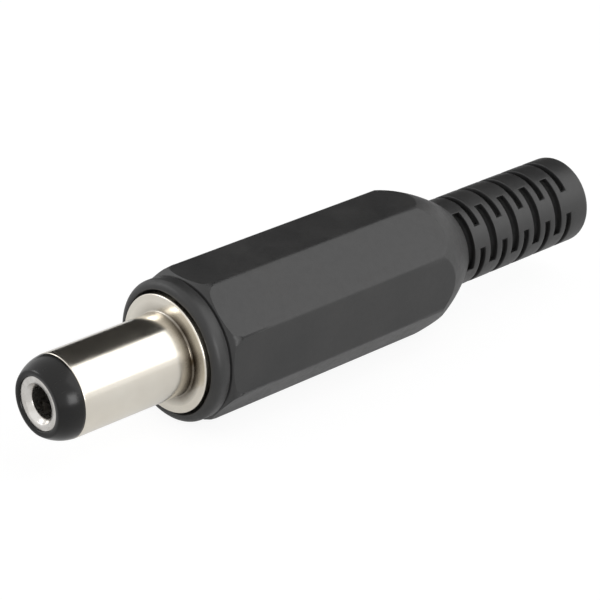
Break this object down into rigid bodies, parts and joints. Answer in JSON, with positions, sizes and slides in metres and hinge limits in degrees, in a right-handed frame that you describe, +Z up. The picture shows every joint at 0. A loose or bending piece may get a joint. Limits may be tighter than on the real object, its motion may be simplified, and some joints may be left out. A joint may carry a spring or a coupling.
{
  "type": "dc barrel plug",
  "caption": "Barrel power plug with a screw-on cover, a round sleeve with a centre contact, solder terminals inside and a slotted bend relief.",
  "frame": {"origin": "on the plug's axis, in the front face of the flange, where a socket stops the plug", "axes": "-Y along the barrel towards its tip, +Y towards the cable end, +Z up; the plug lies on one flat of its cover"},
  "size_m": [0.0094, 0.0466, 0.0094],
  "materials": {
    "nickel": "polished nickel plating on turned brass",
    "tinned_sheet": "tinned sheet brass",
    "spring_bronze": "bare spring bronze",
    "tip_black": "glossy black",
    "bush_ivory": "plain moulded",
    "cover_black": "black, fine satin"
  },
  "bodies": {
    "plug": {"outer_sleeve": "nickel", "tip_insulator": "tip_black", "centre_contact": "nickel", "contact_spring": "spring_bronze", "rear_insulator": "bush_ivory", "ground_terminal": "tinned_sheet", "centre_terminal": "tinned_sheet"},
    "cover": {"cover": "cover_black"}
  },
  "joints": [
    {"name": "cover_draw_off", "type": "slide", "parent": "plug", "child": "cover", "axis": [0, 1, 0], "range_m": [0, 0.02]}
  ]
}
